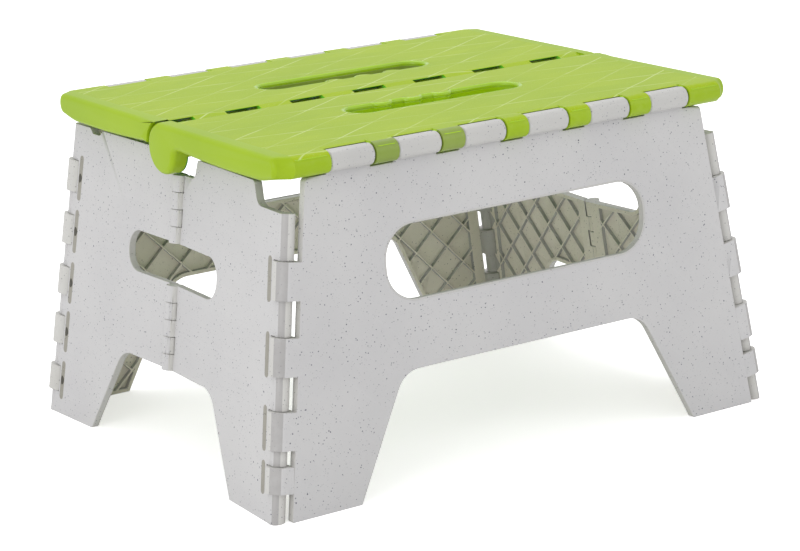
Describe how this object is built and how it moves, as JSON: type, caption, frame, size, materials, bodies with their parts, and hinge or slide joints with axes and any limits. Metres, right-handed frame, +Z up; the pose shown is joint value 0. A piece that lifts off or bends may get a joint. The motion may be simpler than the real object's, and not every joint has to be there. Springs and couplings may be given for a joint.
{
  "type": "folding step stool",
  "caption": "Wide folding step with a two-part hinged top on splayed leg panels, hand holes for carrying, folding flat by its centre hinge.",
  "frame": {"origin": "centre of the footprint on the floor, under the middle of the top's centre hinge", "axes": "+Z up, +X along the step's length, -Y towards the front leg panel"},
  "size_m": [0.3838, 0.3088, 0.22],
  "materials": {
    "green_plastic": "satin lime green plastic with a fine anti-slip pattern on the walking face",
    "speckled_plastic": "satin pale grey plastic filled with fine dark straw specks"
  },
  "bodies": {
    "top_front": {"top_front": "green_plastic"},
    "top_rear": {"top_rear": "green_plastic"},
    "front_leg_panel": {"front_leg_panel": "speckled_plastic"},
    "back_leg_panel": {"back_leg_panel": "speckled_plastic"},
    "left_end_front": {"left_end_front": "speckled_plastic"},
    "left_end_rear": {"left_end_rear": "speckled_plastic"},
    "right_end_front": {"right_end_front": "speckled_plastic"},
    "right_end_rear": {"right_end_rear": "speckled_plastic"}
  },
  "joints": [
    {"name": "top_centre_hinge", "type": "hinge", "parent": "top_front", "child": "top_rear", "pos_m": [0, 0, 0.2035], "axis": [-1, 0, 0], "range_deg": [0, 172]},
    {"name": "front_edge_hinge", "type": "hinge", "parent": "top_front", "child": "front_leg_panel", "pos_m": [0, -0.141, 0.213], "axis": [-1, 0, 0], "range_deg": [0, 82.73]},
    {"name": "rear_edge_hinge", "type": "hinge", "parent": "top_rear", "child": "back_leg_panel", "pos_m": [0, 0.141, 0.213], "axis": [1, 0, 0], "range_deg": [0, 82.73]},
    {"name": "left_front_corner_hinge", "type": "hinge", "parent": "front_leg_panel", "child": "left_end_front", "pos_m": [-0.156, -0.13202, 0.21237], "axis": [-0.1426, -0.069, -0.9874], "range_deg": [0, 84.97]},
    {"name": "left_rear_corner_hinge", "type": "hinge", "parent": "back_leg_panel", "child": "left_end_rear", "pos_m": [-0.156, 0.13202, 0.21237], "axis": [0.1426, -0.069, 0.9874], "range_deg": [0, 84.97]},
    {"name": "right_front_corner_hinge", "type": "hinge", "parent": "front_leg_panel", "child": "right_end_front", "pos_m": [0.156, -0.13202, 0.21237], "axis": [-0.1426, 0.069, 0.9874], "range_deg": [0, 84.97]},
    {"name": "right_rear_corner_hinge", "type": "hinge", "parent": "back_leg_panel", "child": "right_end_rear", "pos_m": [0.156, 0.13202, 0.21237], "axis": [0.1426, 0.069, -0.9874], "range_deg": [0, 84.97]}
  ],
  "couplings": [
    {"joint": "front_edge_hinge", "follows": "top_centre_hinge", "ratio": 0.48099},
    {"joint": "rear_edge_hinge", "follows": "top_centre_hinge", "ratio": 0.48099},
    {"joint": "left_front_corner_hinge", "follows": "top_centre_hinge", "ratio": 0.49399},
    {"joint": "left_rear_corner_hinge", "follows": "top_centre_hinge", "ratio": 0.49399},
    {"joint": "right_front_corner_hinge", "follows": "top_centre_hinge", "ratio": 0.49399},
    {"joint": "right_rear_corner_hinge", "follows": "top_centre_hinge", "ratio": 0.49399}
  ]
}
